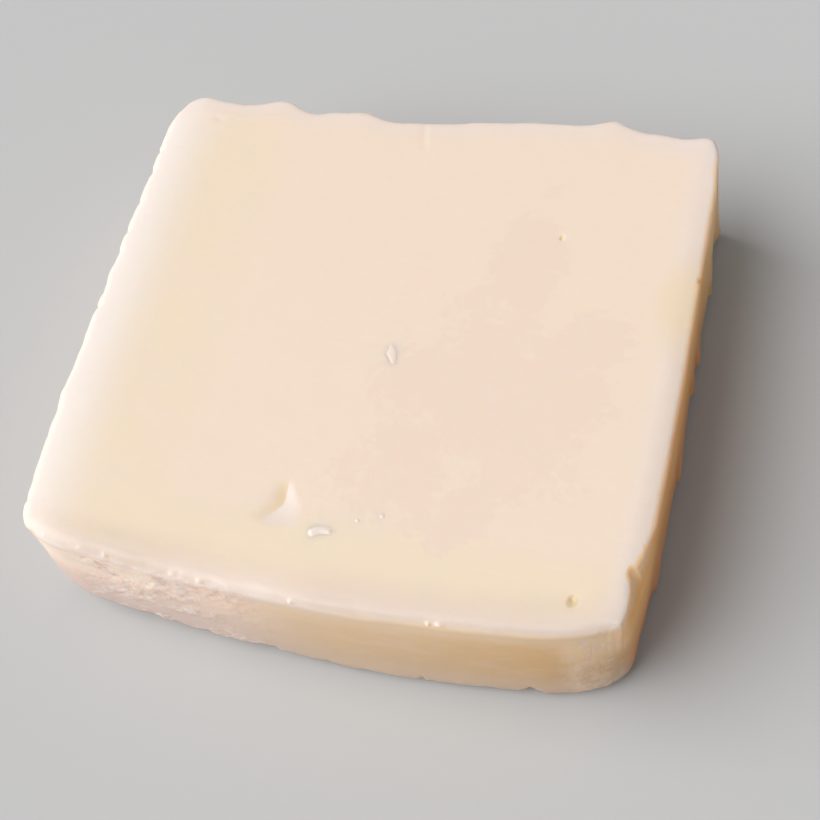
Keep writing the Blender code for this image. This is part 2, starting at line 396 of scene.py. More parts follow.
def rounded_meeting(a, b, radius):
    """Where two faces meet: the larger distance, with the edge rolled over."""
    rolled = np.hypot(np.maximum(a + radius, 0.0), np.maximum(b + radius, 0.0)) - radius
    return np.where((a > -radius) & (b > -radius), rolled, np.maximum(a, b))


def block_field():
    """Signed distances of the block before chips and pits."""
    z = axis_z[None, None, :].astype(np.float32)
    wall = (plan_distance[:, :, None] - RELIEF[plan_index]).astype(np.float32)
    top = z - TOP_HEIGHT[:, :, None].astype(np.float32)
    rim = rim_radius()[plan_index][:, :, None].astype(np.float32)
    foot = foot_radius()[plan_index][:, :, None].astype(np.float32)
    return np.maximum(rounded_meeting(wall, top, rim), rounded_meeting(wall, -z, foot))


def shaped(field, centre, radii, turn=(0.0, 0.0, 0.0), ragged=0.15, grain=1.0, seed=0, add=False):
    """Cuts a rough-walled ellipsoid out of the field, or adds one; turn is in degrees."""
    reach = max(radii) + 3.0 * ragged + 0.5
    cells = []
    for axis, middle in zip((axis_x, axis_y, axis_z), centre):
        first, last = np.searchsorted(axis, (middle - reach, middle + reach))
        cells.append(slice(first, last))
    x, y, z = np.meshgrid(axis_x[cells[0]], axis_y[cells[1]], axis_z[cells[2]], indexing="ij")
    away = np.stack([x - centre[0], y - centre[1], z - centre[2]], axis=-1)
    matrix = np.array(Euler([math.radians(angle) for angle in turn]).to_matrix())
    local = away @ matrix
    size = np.sqrt(((local / np.array(radii)) ** 2).sum(axis=-1))
    distance = (size - 1.0) * min(radii)
    distance = distance + ragged * rough(x / grain, y / grain, z / grain, 101 + seed, 3)
    part = field[cells[0], cells[1], cells[2]]
    part[...] = np.minimum(part, distance) if add else np.maximum(part, -distance)


# Broken rim at the front right corner: (mm left plus mm forward of the break's start, mm of the top lost)
RIM_BREAK = ((0.0, 0.0), (0.4, 0.15), (1.6, 0.35), (2.4, 0.55), (4.0, 0.75), (4.7, 0.85), (6.5, 1.05),
             (6.9, 1.50), (7.9, 1.65), (9.0, 1.40), (9.7, 0.90), (11.4, 0.75), (12.3, 0.40),
             (13.2, 0.10), (14.0, 0.0))
BREAK_START = (37.0, -20.0)
BREAK_LEFT_LIMIT = 28.0  # x: the break is right of it
BREAK_BACK_LIMIT = -18.0  # y: and in front of it
BREAK_HEIGHT = 2.9       # mm down the wall that it reaches
# Chips in the front right corner: (centre, half sizes, turn in degrees)
CORNER_CHIPS = (
    ((33.2, -36.3, 16.2), (0.5, 1.0, 1.9), (0, 16, 10)),
    ((31.6, -36.6, 17.6), (0.4, 0.8, 1.1), (0, 0, 0)),
    ((34.7, -35.5, 12.0), (0.5, 0.8, 1.4), (0, -15, 20)),
)
# Pits in the top and nicks in its rims: (centre, half sizes)
SMALL_PITS = (
    ((29.8, -30.8, 19.95), (0.46, 0.58, 0.19)),
    ((20.2, 17.1, 20.0), (0.22, 0.34, 0.30)),
    ((38.1, 12.9, 19.7), (0.42, 0.5, 0.7)),
    ((-37.6, 26.8, 19.2), (0.5, 0.35, 0.8)),
    ((-37.7, 21.4, 19.2), (0.6, 0.45, 0.8)),
    ((-37.8, 11.6, 19.2), (0.6, 0.40, 0.8)),
)
# Flakes that stand proud of the front rim: (x, length)
RIM_FLAKES = ((-33.0, 0.5), (-28.2, 0.6), (-24.8, 0.5), (-16.0, 0.6), (-12.4, 0.8), (-9.0, 0.4),
              (-1.2, 0.7), (14.6, 0.4), (15.9, 0.9))
RIM_FLAKE_IN = 0.62      # mm in from the front wall
RIM_FLAKE_DOWN = 0.40    # mm below the top
RIM_FLAKE_HALF_SIZES = (0.30, 0.16)  # across the rim and in height, mm
RIM_FLAKE_TURN = (15, 0, 12)  # degrees


def front_edge(x):
    """The y of the front wall at an x."""
    front = outline[outline[:, 1] < -30.0]
    order = np.argsort(front[:, 0])
    return float(np.interp(x, front[order, 0], front[order, 1]))


def rim_lost(x, y):
    """How far in the top is lost along the broken rim."""
    round_corner = (BREAK_START[0] - x) - (y - BREAK_START[1])
    lost = np.interp(round_corner, *np.array(RIM_BREAK).T, left=0.0, right=0.0)
    lost = lost * (1.0 + 0.22 * rough(x / 1.3, y / 1.3, 0.0 * x, 93, 3))
    return np.where((x > BREAK_LEFT_LIMIT) & (y < BREAK_BACK_LIMIT), lost, 0.0)


def break_distance(wall, z, lost):
    """Distance out of the sloping broken face."""
    rise = np.maximum(lost, 0.02)
    return ((wall + lost) * BREAK_HEIGHT + (z - TOP) * rise) / np.hypot(BREAK_HEIGHT, rise)


def rim_flake_centre(x):
    """Where a flake at an x of the front rim sits."""
    return (x, front_edge(x) + RIM_FLAKE_IN, TOP - RIM_FLAKE_DOWN)


def break_block(field):
    """Breaks the rim, chips and pits the block, and sets the flakes on the front rim."""
    lost = rim_lost(plan_x, plan_y)[:, :, None]
    broken = break_distance(plan_distance[:, :, None], axis_z[None, None, :], lost)
    np.maximum(field, np.where(lost > 0.03, broken, -BAND), out=field)
    for number, (centre, radii, turn) in enumerate(CORNER_CHIPS):
        shaped(field, centre, radii, turn, ragged=0.12, grain=0.9, seed=number)
    for number, (centre, radii) in enumerate(SMALL_PITS):
        shaped(field, centre, radii, ragged=0.08, grain=0.5, seed=20 + number)
    for number, (x, length) in enumerate(RIM_FLAKES):
        centre, radii = rim_flake_centre(x), (0.6 * length, *RIM_FLAKE_HALF_SIZES)
        shaped(field, centre, radii, RIM_FLAKE_TURN, ragged=0.08, grain=0.5, seed=40 + number, add=True)


def mesh_from_field(field, start, voxel, name):
    """The zero surface of a distance field as a mesh in metres; start is the first grid point, mm."""
    grid = openvdb.FloatGrid()
    grid.background = BAND
    grid.copyFromArray(np.clip(field, -BAND, BAND).astype(np.float32))
    grid.transform = openvdb.createLinearTransform(voxelSize=voxel)
    points, triangles, quads = grid.convertToPolygons(isovalue=0.0, adaptivity=0.0)
    points = (points + np.array(start)) * MM
    mesh = bpy.data.meshes.new(name)
    mesh.from_pydata(points.tolist(), [], quads.tolist() + triangles.tolist())
    mesh.update()
    return mesh


def thinned(mesh, most_triangles):
    """The same mesh with no more than so many triangles."""
    triangles = sum(len(polygon.vertices) - 2 for polygon in mesh.polygons)
    if triangles <= most_triangles:
        return mesh
    holder = bpy.data.objects.new("holder", mesh)
    bpy.context.scene.collection.objects.link(holder)
    thin = holder.modifiers.new("thin", "DECIMATE")
    thin.ratio = most_triangles / triangles
    seen = holder.evaluated_get(bpy.context.evaluated_depsgraph_get())
    result = bpy.data.meshes.new_from_object(seen)
    result.name = mesh.name
    bpy.data.objects.remove(holder)
    return result


def block_marks(mesh):
    """Stores four marks on each vertex for the material.

    torn, broken and fleck say how far it lies in torn soap, in the broken rim or in a rim flake, 0 to 1;
    inward is its distance in from the plan outline, mm.
    """
    count = len(mesh.vertices)
    places = np.empty(count * 3, np.float32)
    mesh.vertices.foreach_get("co", places)
    places = places.reshape(-1, 3) / MM
    column, row, level = [
        np.clip(np.rint((places[:, side] - axis[0]) / VOXEL).astype(int), 0, len(axis) - 1)
        for side, axis in enumerate((axis_x, axis_y, axis_z))]
    inward = -plan_distance[column, row]
    torn = TORN[plan_index[column, row], level] * (1.0 - smoothstep(1.0, 2.2, inward))
    torn = torn * (1.0 - smoothstep(TOP - 0.9, TOP - 0.3, places[:, 2]))
    for centre, radii, turn in CORNER_CHIPS:
        size = np.sqrt((((places - centre) / (np.array(radii) * 1.15)) ** 2).sum(axis=1))
        torn = np.maximum(torn, 0.6 * (1.0 - smoothstep(0.8, 1.2, size)))
    lost = rim_lost(places[:, 0], places[:, 1])
    broken = break_distance(plan_distance[column, row], places[:, 2], lost)
    broken = smoothstep(-0.42, -0.04, broken) * smoothstep(0.05, 0.70, lost)
    fleck = np.zeros(count)
    for x, length in RIM_FLAKES:
        centre = np.array(rim_flake_centre(x))
        away = np.sqrt((((places - centre) / (0.5 * length, 0.30, 0.30)) ** 2).sum(axis=1))
        fleck = np.maximum(fleck, 1.0 - smoothstep(0.6, 1.6, away))
    for name, values in (("torn", torn), ("inward", inward), ("broken", broken), ("fleck", fleck)):
        mark = mesh.attributes.new(name, "FLOAT", "POINT")
        mark.data.foreach_set("value", values.astype(np.float32))


def add_piece(name, mesh, node):
    """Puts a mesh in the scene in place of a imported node."""
    mesh.shade_smooth()
    piece = bpy.data.objects.new(name, mesh)
    bpy.context.scene.collection.objects.link(piece)
    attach(piece, "root")
    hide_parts(node)
    return piece


WELD_SHARE = 0.05        # of the grid pitch: vertices closer than this are joined


def small_solid(centre, reach, voxel, distance, name):
    """A mesh of the solid where distance(x, y, z) is negative; x, y, z are mm from the centre."""
    axes = [np.arange(-side, side + voxel, voxel) for side in reach]
    x, y, z = np.meshgrid(*axes, indexing="ij")
    start = [middle - side for middle, side in zip(centre, reach)]
    mesh = mesh_from_field(distance(x, y, z), start, voxel, name)
    welded = bmesh.new()
    welded.from_mesh(mesh)
    bmesh.ops.remove_doubles(welded, verts=welded.verts, dist=WELD_SHARE * voxel * MM)
    welded.to_mesh(mesh)
    welded.free()
    return mesh


BIT_SUNK = 0.08          # mm that the loose bits are pressed into the top


def low_lump(outside, z, high, slope):
    """A low lump with an easy edge; outside is the distance out of its outline."""
    rise = high * smoothstep(-0.02, slope, -outside)
    return np.maximum(np.maximum(outside, z - rise), -z - BIT_SUNK)


def shaving(x, y, z):
    """A bent shaving, fat at its left end and thinner at its right."""
    bend_x, bend_y, bend_radius = 0.72, -2.00, 2.30
    first, last = math.radians(80), math.radians(127)
    angle = np.clip(np.arctan2(y - bend_y, x - bend_x), first, last)
    share = (angle - first) / (last - first)
    near_x = bend_x + bend_radius * np.cos(angle)
    near_y = bend_y + bend_radius * np.sin(angle)
    outside = np.hypot(x - near_x, y - near_y) - 0.46 - 0.10 * share
    outside = outside + 0.04 * rough(x / 0.6, y / 0.6, 0.0 * z, 201, 3)
    return low_lump(outside, z, 0.10 + 0.05 * share, 0.48)


# Corners of the flake, anticlockwise seen from above, mm
FLAKE_CORNERS = ((-0.66, 0.00), (-0.05, -0.85), (0.48, -1.42), (0.86, -1.10), (0.70, 0.30), (0.30, 1.25),
                 (-0.38, 1.38))


def flake(x, y, z):
    """A thin flat kite of soap with broken edges."""
    corners = np.array(FLAKE_CORNERS)
    outside = np.full(x.shape, -9.0)
    for start, end in zip(corners, np.roll(corners, -1, axis=0)):
        run = (end - start) / np.hypot(*(end - start))
        outside = np.maximum(outside, (x - start[0]) * run[1] - (y - start[1]) * run[0])
    outside = outside + 0.08 * rough(x / 0.5, y / 0.5, 0.0 * z, 211, 2)
    return low_lump(outside, z - 0.02 * noise(x / 0.6, y / 0.6, 0.0 * z, 212), 0.05, 0.42)


def crumb(seed):
    """A small lump."""
    def distance(x, y, z):
        outside = np.hypot(x / 1.1, y) - 0.31 + 0.04 * rough(x / 0.4, y / 0.4, 0.0 * z, seed, 3)
        return low_lump(outside, z, 0.075, 0.31)
    return distance


# Loose bits: (piece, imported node, place, half size, grid pitch, shape)
LOOSE_BITS = (
    ("soap_shaving_curl", "soap_shaving", (-0.2, -27.3), (1.5, 1.2, 0.9), 0.045, shaving),
    ("soap_flake_kite", "soap_flake", (2.65, -2.75), (1.2, 1.7, 0.5), 0.045, flake),
    ("soap_crumb_west", "soap_crumb_left", (4.0, -25.2), (0.5, 0.5, 0.5), 0.03, crumb(221)),
    ("soap_crumb_east", "soap_crumb_right", (6.7, -24.2), (0.5, 0.5, 0.5), 0.03, crumb(231)),
)

field = block_field()
break_block(field)
block_mesh = mesh_from_field(field, (axis_x[0], axis_y[0], axis_z[0]), VOXEL, "soap_block")
block_mesh = thinned(block_mesh, MOST_TRIANGLES)
block_marks(block_mesh)
add_piece("soap_block", block_mesh, "soap_bar")
bits = []
for name, node, (x, y), reach, voxel, shape in LOOSE_BITS:
    column, row = np.searchsorted(axis_x, x), np.searchsorted(axis_y, y)
    bit_mesh = small_solid((x, y, TOP_HEIGHT[column, row]), reach, voxel, shape, name)
    bits.append(add_piece(name, bit_mesh, node))


# ---------------------------------------- materials

def srgb(red, green, blue):
    """A display colour, 0 to 255 a channel, as the linear colour a shader wants."""
    def linear(level):
        share = level / 255.0
        return share / 12.92 if share <= 0.04045 else ((share + 0.055) / 1.055) ** 2.4
    return (linear(red), linear(green), linear(blue), 1.0)


class Shade:
    """A node material under construction; values may be numbers, colours or sockets."""

    def __init__(self, name):
        self.material = bpy.data.materials.new(name)
        self.material.use_nodes = True
        self.tree = self.material.node_tree
        self.shader = self.tree.nodes["Principled BSDF"]
        metres = self.node("ShaderNodeTexCoord").outputs["Object"]
        scale = self.node("ShaderNodeVectorMath", operation="SCALE")
        self.feed(scale.inputs[0], metres)
        scale.inputs["Scale"].default_value = 1.0 / MM
        self.place = scale.outputs["Vector"]
        split = self.node("ShaderNodeSeparateXYZ")
        self.feed(split.inputs[0], self.place)
        self.x, self.y, self.z = split.outputs

    def node(self, kind, **settings):
        made = self.tree.nodes.new(kind)
        for name, value in settings.items():
            setattr(made, name, value)
        return made

    def feed(self, socket, value):
        if isinstance(value, bpy.types.NodeSocket):
            self.tree.links.new(socket, value)
        else:
            socket.default_value = value

    def math(self, operation, first, second=0.0):
        made = self.node("ShaderNodeMath", operation=operation)
        self.feed(made.inputs[0], first)
        self.feed(made.inputs[1], second)
        return made.outputs[0]

    def times(self, *values):
        total = values[0]
        for value in values[1:]:
            total = self.math("MULTIPLY", total, value)
        return total

    def plus(self, *values):
        total = values[0]
        for value in values[1:]:
            total = self.math("ADD", total, value)
        return total

    def ramp(self, value, start, end, low=0.0, high=1.0):
        """low before start, high after end, smooth between; start may be the larger number."""
        made = self.node("ShaderNodeMapRange", interpolation_type="SMOOTHSTEP")
        if start > end:
            start, end, low, high = end, start, high, low
        for socket, number in zip(made.inputs[:5], (value, start, end, low, high)):
            self.feed(socket, number)
        return made.outputs[0]

    def band(self, value, start, full, fade, end):
        return self.times(self.ramp(value, start, full), self.ramp(value, end, fade))

    def noise(self, size, detail=2.0, roughness=0.5, stretch=(1.0, 1.0, 1.0), turn=0.0):
        """Noise, 0 to 1 round 0.5, with features of a size in mm; turn tilts it about y, degrees."""
        where = self.node("ShaderNodeMapping", vector_type="POINT")
        tilted = self.node("ShaderNodeVectorRotate", rotation_type="Y_AXIS")
        self.feed(tilted.inputs["Vector"], self.place)
        tilted.inputs["Angle"].default_value = math.radians(turn)
        self.feed(where.inputs["Vector"], tilted.outputs[0])
        where.inputs["Scale"].default_value = tuple(1.0 / (size * side) for side in stretch)
        made = self.node("ShaderNodeTexNoise")
        self.feed(made.inputs["Vector"], where.outputs[0])
        made.inputs["Scale"].default_value = 1.0
        made.inputs["Detail"].default_value = detail
        made.inputs["Roughness"].default_value = roughness
        return made.outputs[0]

    def mark(self, name):
        return self.node("ShaderNodeAttribute", attribute_name=name).outputs["Fac"]

    def mix(self, share, first, second):
        made = self.node("ShaderNodeMix", data_type="RGBA")
        self.feed(made.inputs[0], share)
        self.feed(made.inputs[6], first)
        self.feed(made.inputs[7], second)
        return made.outputs[2]

    def dimmed(self, colour, share):
        """A colour times a number."""
        made = self.node("ShaderNodeVectorMath", operation="SCALE")
        self.feed(made.inputs[0], colour)
        self.feed(made.inputs["Scale"], share)
        return made.outputs[0]

    def table(self, value, pairs):
        """A number that follows straight lines between (value, result) pairs, values rising."""
        total = pairs[0][1]
        for (start, low), (end, high) in zip(pairs, pairs[1:]):
            step = self.node("ShaderNodeMapRange", clamp=True)
            for socket, number in zip(step.inputs[:5], (value, start, end, 0.0, high - low)):
                self.feed(socket, number)
            total = self.math("ADD", step.outputs[0], total)
        return total

    def spot(self, x, y, half_x, half_y):
        """Distance from a place on the plan, 1 on an ellipse of the given half sizes."""
        across = self.math("DIVIDE", self.math("SUBTRACT", self.x, x), half_x)
        along = self.math("DIVIDE", self.math("SUBTRACT", self.y, y), half_y)
        return self.math("SQRT", self.plus(self.times(across, across), self.times(along, along)))

    def bump(self, height, depth, before=None):
        """Fine relief; depth is the height of 1 in mm."""
        made = self.node("ShaderNodeBump")
        self.feed(made.inputs["Height"], height)
        made.inputs["Distance"].default_value = depth * MM
        if before is not None:
            self.feed(made.inputs["Normal"], before)
        return made.outputs[0]


def translucent(shade):
    """The waxy depth of soap."""
    shade.shader.subsurface_method = "BURLEY"
    shade.shader.inputs["Subsurface Weight"].default_value = SOAP_TRANSLUCENCE
    shade.shader.inputs["Subsurface Radius"].default_value = SOAP_SCATTER_COLOUR
    shade.shader.inputs["Subsurface Scale"].default_value = SOAP_SCATTER_DEPTH * MM
    shade.shader.inputs["Specular IOR Level"].default_value = BLOCK_SPECULAR


SOAP_TRANSLUCENCE = 0.75
SOAP_SCATTER_COLOUR = (1.0, 0.42, 0.20)
SOAP_SCATTER_DEPTH = 3.2  # mm
BLOCK_SPECULAR = 0.35
BIT_SPECULAR = 0.3

# Colours of the top
CREAM = srgb(244, 223, 203)
YELLOW_CREAM = srgb(243, 223, 195)
PINK_CREAM = srgb(242, 219, 201)
# painted light on the rims and on the dent's rise
PAINTED_LIGHT_LILAC = srgb(242, 225, 215)
# painted highlight along the left rim
PAINTED_HIGHLIGHT_RIM = srgb(245, 234, 225)
BUTTER = srgb(239, 216, 179)
FLECK = srgb(236, 219, 209)
RIM_TAN = srgb(233, 207, 173)
# painted shade along the rims' edges
EDGE_PAINTED_SHADE = srgb(217, 197, 181)
OLIVE = srgb(214, 190, 140)
# Colours of the loose bits
BIT_CREAM = srgb(243, 226, 213)
BIT_PALE = srgb(248, 234, 223)
FLAKE_CREAM = srgb(242, 221, 209)
FLAKE_PALE = srgb(246, 228, 217)
# Colours of the walls, the broken rim and the tears; the golden, deep, amber, olive and rust wall colours
# are partly the soap's own and partly painted shade
SIDE_PINK = srgb(238, 212, 194)
SIDE_MAUVE = srgb(236, 211, 207)
SIDE_GOLD_AND_SHADE = srgb(230, 196, 154)
SIDE_DEEP_AND_SHADE = srgb(222, 180, 126)
SIDE_AMBER_AND_SHADE = srgb(236, 174, 94)
SIDE_RUST_AND_SHADE = srgb(236, 158, 86)
SIDE_OLIVE_AND_SHADE = srgb(244, 199, 134)
SIDE_SOFT = srgb(234, 206, 180)
BREAK_TAN = srgb(246, 186, 110)
BREAK_PALE = srgb(244, 208, 164)
TORN_WHITE = srgb(247, 229, 218)
TORN_CREAM = srgb(239, 211, 184)
TORN_PINK = srgb(231, 202, 190)

# Pinkish clouds of the top, ellipses that run together: (x, y, half sizes), mm
PINK_ZONES = ((16.5, -8.5, 13.0, 12.5), (8.0, -5.5, 6.5, 6.0), (8.0, -19.5, 6.5, 5.0),
              (15.5, -22.5, 4.0, 4.5), (17.3, 9.0, 3.8, 12.0), (27.5, 3.0, 4.0, 4.0))
# Darker pits in the top: (x, y, half sizes), mm
TOP_PITS = ((29.8, -30.8, 0.62, 0.72), (20.2, 17.1, 0.24, 0.36))
# How strongly the painted shade darkens the front rim at each x, mm
LIP_PAINTED_SHADE_STRENGTH = ((-37.0, 0.3), (-33.0, 0.5), (-30.0, 0.8), (-26.0, 1.2), (-24.0, 1.3), (-19.0, 1.3),
                (-15.0, 0.9), (-8.0, 0.4), (-4.0, 0.5), (2.0, 1.0), (26.0, 1.0), (33.0, 0.65))
# A yellower patch at the right rim, and two spots of painted light on the front right corner: a lighter one
# and a paler one
BUTTER_PATCH = (36.6, 8.6, 3.2, 6.6)
CORNER_PAINTED_LIGHT = (33.5, -34.0, 5.0, 3.5)
CORNER_PAINTED_PALE = (32.4, -34.2, 4.2, 3.0)
FLECK_SHARE = 0.75       # how much of its own colour a rim flake shows
# Painted shade: how light the walls are at each height, mm, darker towards the foot
WALL_PAINTED_SHADE = ((0.0, 0.58), (1.6, 0.74), (3.2, 0.84), (8.0, 0.92), (13.0, 1.0), (18.0, 1.12))


def about(shade, share, reach):
    """A noise of 0 to 1 as a wander of half the reach to both sides of 0."""
    return shade.times(shade.plus(share, -0.5), reach)


def top_clouds(shade, cloud, grain):
    """The flat of the top: cream, yellower bands at the left and front, pinkish clouds at the right."""
    x, y = shade.x, shade.y
    ramp, times, mix, spot, band = shade.ramp, shade.times, shade.mix, shade.spot, shade.band
    left_yellow = times(band(x, -37.0, -31.0, -25.0, -15.0), ramp(cloud, 0.2, 0.6, 0.0, 0.75),
                        ramp(y, 33.5, 26.0, 0.3, 1.0), ramp(y, -34.0, -27.0, 0.3, 1.0))
    front_yellow = times(band(y, -34.5, -31.0, -29.0, -23.5), ramp(x, -33.0, -23.0, 0.1, 0.7))
    top = mix(left_yellow, CREAM, YELLOW_CREAM)
    top = mix(front_yellow, top, YELLOW_CREAM)
    zone = spot(*PINK_ZONES[0])
    for ellipse in PINK_ZONES[1:]:
        zone = shade.math("MINIMUM", zone, spot(*ellipse))
    wander = shade.plus(zone, about(shade, cloud, 3.0), about(shade, grain, 1.5))
    return mix(ramp(wander, 1.15, 0.80), top, PINK_CREAM)


def dent_and_pits(shade, top, grain):
    """The thumbnail dent, painted shade in butter on its slope and painted light in pale lilac on its rise,
    and the darker pits.
    """
    x, y = shade.x, shade.y
    ramp, times, mix, band = shade.ramp, shade.times, shade.mix, shade.band
    crease = shade.table(y, [(place_y, place_x) for place_y, place_x, rise in GOUGE_CREASE])
    rise_width = shade.table(y, [(place_y, rise) for place_y, place_x, rise in GOUGE_CREASE])
    across = shade.math("SUBTRACT", x, crease)
    # painted shade: butter on the dent's slope, which faces away from the light
    slope = times(ramp(across, -2.0, -0.2), ramp(across, 0.04, -0.04))
    top = mix(times(slope, band(y, -27.0, -24.8, -22.5, -20.8), 0.9), top, BUTTER)
    # painted light: pale on the dent's rise, which faces the light
    rise = times(ramp(across, -0.05, 0.05), ramp(shade.math("DIVIDE", across, rise_width), 1.1, 0.6))
    top = mix(times(rise, band(y, -27.6, -26.8, -23.0, -20.8), 0.85), top, PAINTED_LIGHT_LILAC)
    for ellipse in TOP_PITS:
        pit = shade.plus(shade.spot(*ellipse), about(shade, grain, 1.2))
        top = mix(ramp(pit, 1.3, 0.7, 0.0, 0.75), top, OLIVE)
    return top


def top_rims(shade, top, cloud, inward):
    """The rims of the top: painted light as pale bands, tan where the front one rolls over, and painted
    shade as a darker line along the edge.
    """
    x, y, z = shade.x, shade.y, shade.z
    ramp, times, plus, mix = shade.ramp, shade.times, shade.plus, shade.mix
    # painted light: pale bands along the right and front rims
    painted_light_right_rim = times(ramp(inward, 5.0, 0.6), ramp(x, 30.0, 34.5))
    still_top = ramp(z, TOP - 1.2, TOP - 0.3)
    rolled_right = times(ramp(z, TOP - 0.3, TOP - 1.1), ramp(x, -6.0, 16.0))
    painted_light_front_rim = times(ramp(inward, 3.2, 0.5), ramp(y, -31.0, -33.0), ramp(rolled_right, 1.0, 0.0))
    top = mix(shade.math("MAXIMUM", painted_light_right_rim, painted_light_front_rim), top, PAINTED_LIGHT_LILAC)
    # painted highlight: a paler band along the left rim
    top = mix(ramp(x, -27.0, -37.5), top, PAINTED_HIGHLIGHT_RIM)
    # painted shade: a darker line along the front rim
    lip = plus(ramp(inward, 6.5, 2.2, 0.0, 0.35), ramp(inward, 2.3, 0.3, 0.0, 0.50))
    lip = times(lip, ramp(y, -27.0, -31.5), ramp(x, -37.5, -35.0), shade.table(x, LIP_PAINTED_SHADE_STRENGTH), still_top)
    # painted shade: a darker line along the right rim
    right_lip_painted_shade = times(ramp(inward, 3.2, 0.3), ramp(x, 32.0, 35.0), ramp(y, 30.0, 10.0, 0.1, 0.5))
    top = mix(shade.math("MAXIMUM", lip, right_lip_painted_shade), top, EDGE_PAINTED_SHADE)
    top = mix(times(rolled_right, ramp(y, -29.0, -32.0)), top, RIM_TAN)
    # painted light: a pale band along the back rim
    painted_light_back_rim = times(ramp(inward, 4.0, 0.5), ramp(y, 29.0, 33.0), 0.7)
    top = mix(painted_light_back_rim, top, PAINTED_LIGHT_LILAC)
    patch = plus(shade.spot(*BUTTER_PATCH), about(shade, cloud, 0.8))
    return mix(times(ramp(patch, 1.4, 0.3), 0.65), top, BUTTER)


def cut_walls(shade, cloud, on_front, on_right):
    """The cut walls: pinkish, golden along the front, amber to rust on the right, partly in painted shade;
    painted shade darker low down, painted light at the upper left and the front right corner.
    """
    x, y, z = shade.x, shade.y, shade.z
    ramp, times, plus, mix, spot = shade.ramp, shade.times, shade.plus, shade.mix, shade.spot
    side = mix(on_front, SIDE_SOFT, SIDE_PINK)
    # golden to deep along the front, deeper to the right: partly the soap's colour, partly painted shade
    side = mix(times(on_front, ramp(x, -16.0, 6.0)), side, SIDE_GOLD_AND_SHADE)
    side = mix(times(on_front, ramp(x, 6.0, 32.0)), side, SIDE_DEEP_AND_SHADE)
    mauve = times(on_front, ramp(z, 12.0, 4.0), ramp(x, -6.0, -22.0), 0.75)
    side = mix(mauve, side, SIDE_MAUVE)
    patchy_y = plus(y, about(shade, cloud, 40.0))
    # the right wall: amber to olive, and rust low at the front, partly the soap's colour and partly painted
    # shade
    right = mix(ramp(patchy_y, 0.0, 30.0), SIDE_AMBER_AND_SHADE, SIDE_OLIVE_AND_SHADE)
    rust = times(ramp(z, 15.0, 6.0), ramp(patchy_y, 28.0, 2.0))
    side = mix(on_right, side, mix(rust, right, SIDE_RUST_AND_SHADE))
    streaks = shade.noise(2.2, 3.0, 0.6, stretch=(2.2, 2.2, 0.8))
    low = ramp(plus(z, about(shade, streaks, 7.0)), 9.0, 1.5)
    side = mix(times(low, ramp(on_right, 0.2, 0.8, 0.6, 0.15)), side, SIDE_PINK)
    streaky = times(ramp(streaks, 0.45, 0.75), ramp(on_right, 0.2, 0.8, 0.30, 0.20))
    side = mix(streaky, side, SIDE_PINK)
    # painted light: the upper walls lighter towards the left, the side the light comes from
    painted_left_light = times(ramp(z, 9.0, 14.5), ramp(x, 0.0, -26.0), 0.23)
    # painted light: the upper front right corner of the walls lighter
    painted_corner_light = times(ramp(z, 8.0, 15.0), ramp(spot(*CORNER_PAINTED_LIGHT), 1.3, 0.5), 0.22)
    # painted shade darker towards the foot, and painted light at the upper left and front right corner,
    # multiplied into the wall colour
    side = shade.dimmed(side, plus(shade.table(z, WALL_PAINTED_SHADE), painted_left_light, painted_corner_light))
    under_lip = times(on_front, ramp(z, 15.0, 18.8), 0.45)
    # painted light: paler cream on the upper front right corner
    painted_corner_pale = times(ramp(z, 10.0, 16.0), ramp(spot(*CORNER_PAINTED_PALE), 1.3, 0.5), 0.4)
    return mix(shade.math("MAXIMUM", under_lip, painted_corner_pale), side, YELLOW_CREAM)


def torn_and_broken(shade, side, torn, broken):
    """Tears with pinkish hollows and white flecks, the crumbly corner, and the golden broken rim."""
    x, y, z = shade.x, shade.y, shade.z
    ramp, times, mix = shade.ramp, shade.times, shade.mix
    hollows = shade.noise(1.7, 3.0, 0.6)
    side = mix(times(torn, ramp(hollows, 0.48, 0.64), 0.85), side, TORN_PINK)
    slanting = shade.noise(1.0, 3.0, 0.65, turn=TEAR_SLANT, stretch=(2.6, 1.0, 0.8))
    flecks = shade.plus(slanting, times(torn, 0.06))
    side = mix(times(torn, ramp(flecks, 0.54, 0.66), 0.9), side, TORN_WHITE)
    corner = times(shade.band(x, 27.3, 30.5, 33.2, 34.8), ramp(y, -31.5, -33.0))
    crumbly = shade.noise(2.0, 4.0, 0.7, stretch=(1.0, 1.0, 1.5))
    side = mix(times(corner, ramp(crumbly, 0.38, 0.62), 0.55), side, TORN_CREAM)
    break_colour = mix(ramp(z, TOP - 2.4, TOP - 0.6), BREAK_TAN, BREAK_PALE)
    return mix(broken, side, break_colour)


def share_of_top(shade, grain, inward, on_right, broken):
    """1 where the surface has the top's colour and 0 where it has the walls'."""
    x, y, z = shade.x, shade.y, shade.z
    ramp, times, plus = shade.ramp, shade.times, shade.plus
    right_and_back = plus(times(ramp(x, 34.5, 36.5), -0.5), times(ramp(y, 31.0, 33.0), 0.9))
    right_edge = times(on_right, ramp(inward, 0.8, 0.3), -0.5)
    back_right = times(ramp(y, 31.0, 34.5), ramp(x, 33.0, 36.0), 2.2)
    height = plus(z, right_and_back, right_edge, back_right, about(shade, grain, 0.6))
    rolled_front = times(ramp(y, -31.0, -33.0), ramp(z, TOP - 0.3, TOP - 0.8), 0.5)
    height = plus(height, rolled_front)
    return times(ramp(height, TOP - 2.1, TOP - 0.4), ramp(broken, 0.75, 0.25))


